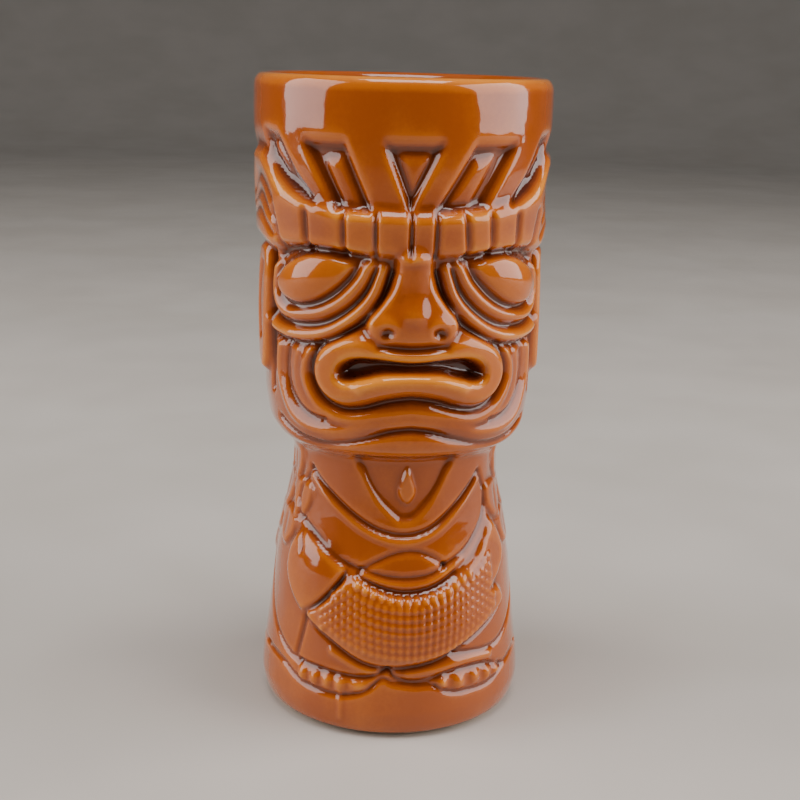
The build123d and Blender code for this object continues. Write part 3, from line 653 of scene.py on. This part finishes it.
class Nodes:
    """A short way to write a material's nodes."""

    def __init__(self, name):
        self.material = bpy.data.materials.new(name)
        self.material.use_nodes = True
        self.tree = self.material.node_tree
        self.shader = self.tree.nodes["Principled BSDF"]

    def add(self, kind, inputs=None, **settings):
        """Add a node with its settings and its inputs."""
        node = self.tree.nodes.new(kind)
        for key, value in settings.items():
            setattr(node, key, value)
        for key, value in (inputs or {}).items():
            self.put(node, key, value)
        return node

    def put(self, node, key, value):
        """Set an input to a constant, or link it to another node's output."""
        if isinstance(value, bpy.types.NodeSocket):
            self.tree.links.new(value, node.inputs[key])
        else:
            node.inputs[key].default_value = value

    def noise(self, scale, detail=3.0, roughness=0.55, stretch=(1, 1, 1)):
        """A noise pattern fixed to the object; the scale counts features per metre."""
        where = self.add("ShaderNodeTexCoord").outputs["Object"]
        if stretch != (1, 1, 1):
            where = self.add("ShaderNodeMapping", {"Vector": where, "Scale": stretch}).outputs[0]
        settings = {"Vector": where, "Scale": scale, "Detail": detail, "Roughness": roughness}
        return self.add("ShaderNodeTexNoise", settings).outputs["Fac"]

    def ramp(self, factor, stops):
        """Colours along a factor, as (position, (r, g, b)) stops."""
        node = self.add("ShaderNodeValToRGB", {"Fac": factor})
        node.color_ramp.interpolation = "EASE"
        while len(node.color_ramp.elements) < len(stops):
            node.color_ramp.elements.new(0.5)
        for element, (position, colour) in zip(node.color_ramp.elements, stops):
            element.position = position
            element.color = (*colour, 1.0)
        return node.outputs["Color"]

    def range(self, value, low, high, to_low, to_high):
        """Map a value from one range to another."""
        ends = {"From Min": low, "From Max": high, "To Min": to_low, "To Max": to_high}
        return self.add("ShaderNodeMapRange", {"Value": value, **ends}).outputs["Result"]

    def spread(self, noise, to_low, to_high):
        """Spread a noise pattern, most of which lies between 0.3 and 0.7, over a range."""
        return self.range(noise, 0.3, 0.7, to_low, to_high)

    def sum(self, a, b, share):
        """a plus a share of b."""
        inputs = {0: b, 1: share, 2: a}
        return self.add("ShaderNodeMath", inputs, operation="MULTIPLY_ADD").outputs[0]

    def bump(self, height, strength, distance):
        """A normal tilted by a height pattern; the distance is in metres."""
        inputs = {"Height": height, "Strength": strength, "Distance": distance}
        return self.add("ShaderNodeBump", inputs).outputs["Normal"]

    def mix(self, factor, a, b):
        """Colour a turning into colour b; the node's colour sockets are found by number."""
        node = self.add("ShaderNodeMix", data_type="RGBA")
        self.put(node, 0, factor)
        self.put(node, 6, a)
        self.put(node, 7, b)
        return node.outputs[2]


def glaze_material(name, stops, depth_attribute):
    """A glossy iron glaze that breaks pale on edges and pools dark in hollows."""
    n = Nodes(name)
    cloud = n.noise(38, 2.0)
    runs = n.noise(60, 3.0, stretch=(1, 1, 0.16))
    fleck = n.noise(900, 2.0, 0.7)
    if depth_attribute:
        depth = n.add("ShaderNodeAttribute", attribute_name="glaze_depth").outputs["Fac"]
    else:
        depth = n.spread(n.noise(22, 2.0), 0.4, 0.62)
    for pattern, share in ((cloud, 0.06), (runs, 0.05), (fleck, 0.02)):
        depth = n.sum(depth, n.spread(pattern, -1.0, 1.0), share)
    n.put(n.shader, "Base Color", n.ramp(depth, stops))
    n.put(n.shader, "Roughness", n.spread(n.noise(140, 2.0), 0.10, 0.20))
    n.put(n.shader, "Specular IOR Level", 0.12)
    n.put(n.shader, "Coat Weight", 1.0)
    n.put(n.shader, "Coat Roughness", n.spread(n.noise(300, 2.0), 0.015, 0.05))
    n.put(n.shader, "Coat IOR", 1.5)
    orange_peel = n.sum(n.noise(240, 1.0), n.noise(1500, 1.0), 0.06)
    peel_depth = 0.18 * MM
    n.put(n.shader, "Normal", n.bump(orange_peel, 0.5, peel_depth))
    n.put(n.shader, "Coat Normal", n.bump(orange_peel, 0.35, peel_depth))
    return n.material


def amber_glaze():
    """The outside: orange amber, near black-brown deep in the mouth and grooves."""
    stops = [
        (0.05, (0.74, 0.245, 0.020)), (0.34, (0.52, 0.120, 0.003)), (0.52, (0.37, 0.070, 0.001)),
        (0.74, (0.19, 0.032, 0.001)), (0.97, (0.095, 0.014, 0.0005)),
    ]
    return glaze_material("amber_glaze_look", stops, True)


def liner_glaze():
    """The inside: the same glaze, a little thicker and darker."""
    stops = [(0.2, (0.46, 0.12, 0.012)), (0.5, (0.32, 0.062, 0.003)), (0.8, (0.17, 0.028, 0.001))]
    return glaze_material("liner_glaze_look", stops, False)


def foot_glaze():
    """The patch under the foot, thin and uneven."""
    stops = [(0.2, (0.55, 0.19, 0.04)), (0.5, (0.38, 0.09, 0.008)), (0.8, (0.2, 0.035, 0.002))]
    return glaze_material("foot_glaze_look", stops, False)


def bare_clay():
    """Unglazed buff clay with fine dark specks."""
    n = Nodes("bare_clay_look")
    tone = n.ramp(n.noise(70, 4.0), [(0.3, (0.60, 0.46, 0.33)), (0.7, (0.72, 0.59, 0.45))])
    specks = n.range(n.noise(1600, 2.0, 0.8), 0.62, 0.72, 0.0, 0.6)
    n.put(n.shader, "Base Color", n.mix(specks, tone, (0.20, 0.12, 0.07, 1.0)))
    n.put(n.shader, "Roughness", n.spread(n.noise(120, 3.0), 0.72, 0.92))
    grain_depth = 0.06 * MM
    n.put(n.shader, "Normal", n.bump(n.noise(2600, 3.0, 0.7), 0.5, grain_depth))
    return n.material


def stage_material(name, low, high):
    """A plain matt surface with a very slight mottle."""
    n = Nodes(name)
    n.put(n.shader, "Base Color", n.ramp(n.noise(9, 2.0), [(0.3, low), (0.7, high)]))
    n.put(n.shader, "Roughness", n.spread(n.noise(30, 2.0), 0.55, 0.7))
    return n.material


def make_stage():
    """A plain pale floor, round, that sweeps up into a backdrop three metres away."""
    flat, bend, top = 1900.0, 1100.0, 4200.0
    outline = [(0.01, 0.0), (300.0, 0.0), (flat, 0.0)]
    for a in np.linspace(0, math.pi / 2, 16)[1:]:
        outline.append((flat + bend * math.sin(a), bend * (1 - math.cos(a))))
    outline.append((flat + bend, top))
    floor = turned_mesh("studio_floor", outline, around=96)
    look = stage_material("pale_floor_look", (0.48, 0.44, 0.39), (0.52, 0.48, 0.43))
    floor.data.materials.append(look)


def soft_light(name, place, target, size, power, colour=(1, 1, 1)):
    """A rectangular soft light aimed at a point."""
    data = bpy.data.lights.new(name, "AREA")
    data.shape = "RECTANGLE"
    data.size, data.size_y = size
    data.energy = power
    data.color = colour
    light = bpy.data.objects.new(name, data)
    light.location = place
    aim = Vector(target) - Vector(place)
    light.rotation_euler = aim.to_track_quat("-Z", "Y").to_euler()
    bpy.context.scene.collection.objects.link(light)


def make_lights():
    """Two tall soft windows left and right of the camera, a soft top light and a pale room."""
    middle = (0, 0, 0.10)
    window_tint = (1.0, 0.96, 0.96)
    soft_light("window_left", (-0.90, -0.10, 0.52), middle, (0.75, 1.0), 10.5, window_tint)
    soft_light("window_right", (0.88, -0.22, 0.52), middle, (0.95, 1.0), 13.5, window_tint)
    soft_light("top_soft", (0.0, -0.25, 1.25), middle, (0.8, 0.5), 9.5)
    world = bpy.data.worlds.new("studio_air")
    world.use_nodes = True
    shade = world.node_tree.nodes["Background"]
    shade.inputs["Color"].default_value = (0.62, 0.72, 0.84, 1.0)
    shade.inputs["Strength"].default_value = 0.22
    bpy.context.scene.world = world


def make_camera():
    """The photograph's viewpoint: a 60 mm lens 0.34 m away, looking down at the mug."""
    data = bpy.data.cameras.new("photo_view")
    data.lens = 60.0
    data.sensor_width = 36.0
    data.clip_start = 0.01
    camera = bpy.data.objects.new("photo_view", data)
    yaw, pitch, roll = math.radians(5.0), math.radians(14.7), math.radians(1.5)
    level = math.cos(pitch)
    look = Vector((math.sin(yaw) * level, math.cos(yaw) * level, -math.sin(pitch)))
    turn = look.to_track_quat("-Z", "Y").to_matrix() @ Matrix.Rotation(roll, 3, "Z")
    place = Matrix.Translation((-0.0288, -0.3416, 0.1709))
    camera.matrix_world = place @ turn.to_4x4()
    bpy.context.scene.collection.objects.link(camera)
    bpy.context.scene.camera = camera


PIECES = [
    (make_outer_skin, amber_glaze, "outer_glaze", "amber_glaze"),
    (make_liner, liner_glaze, "liner_glaze", "liner_glaze"),
    (make_foot, bare_clay, "clay_body", "bare_clay"),
    (make_recess_glaze, foot_glaze, "foot_recess_glaze", "foot_glaze"),
]

for make, look, node, slot in PIECES:
    piece = make()
    piece.data.materials.append(look())
    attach(piece, "root")
    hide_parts(node)

make_stage()
make_lights()
make_camera()
